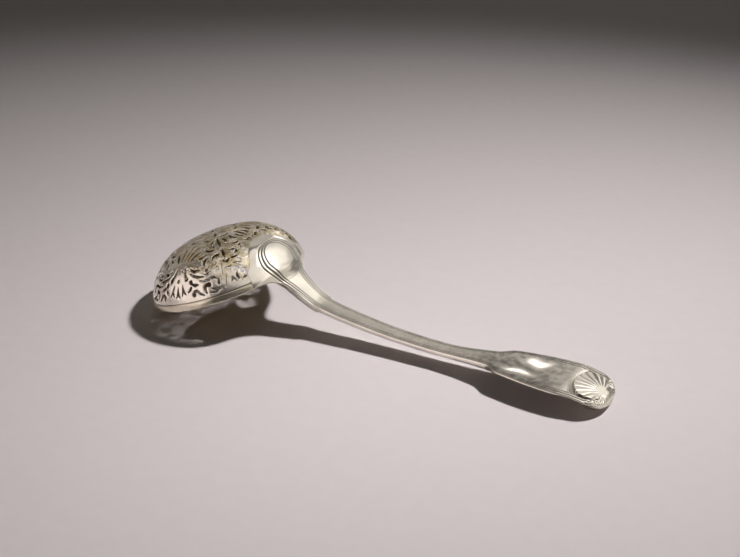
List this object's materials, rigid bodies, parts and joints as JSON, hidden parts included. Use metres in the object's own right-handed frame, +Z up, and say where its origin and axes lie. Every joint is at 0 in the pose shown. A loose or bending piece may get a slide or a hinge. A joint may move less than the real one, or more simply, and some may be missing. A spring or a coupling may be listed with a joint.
{
  "type": "sugar sifter spoon",
  "caption": "Sifter spoon with a round pierced bowl, a rim band and a fiddle-shaped threaded handle with a shell end, lying face down.",
  "frame": {"origin": "middle of the box round the spoon, on the table it lies on", "axes": "+X from the bowl to the end of the handle, +Z up, the spoon face down"},
  "size_m": [0.2052, 0.0682, 0.0357],
  "materials": {
    "bowl_silver": "worn polished silver, gilt inside, tarnish in the piercing",
    "band_silver": "worn polished silver",
    "handle_silver": "worn polished silver, tarnish in the threads"
  },
  "bodies": {
    "root": {"pierced_bowl": "bowl_silver", "rim_band": "band_silver", "handle": "handle_silver"}
  },
  "joints": []
}
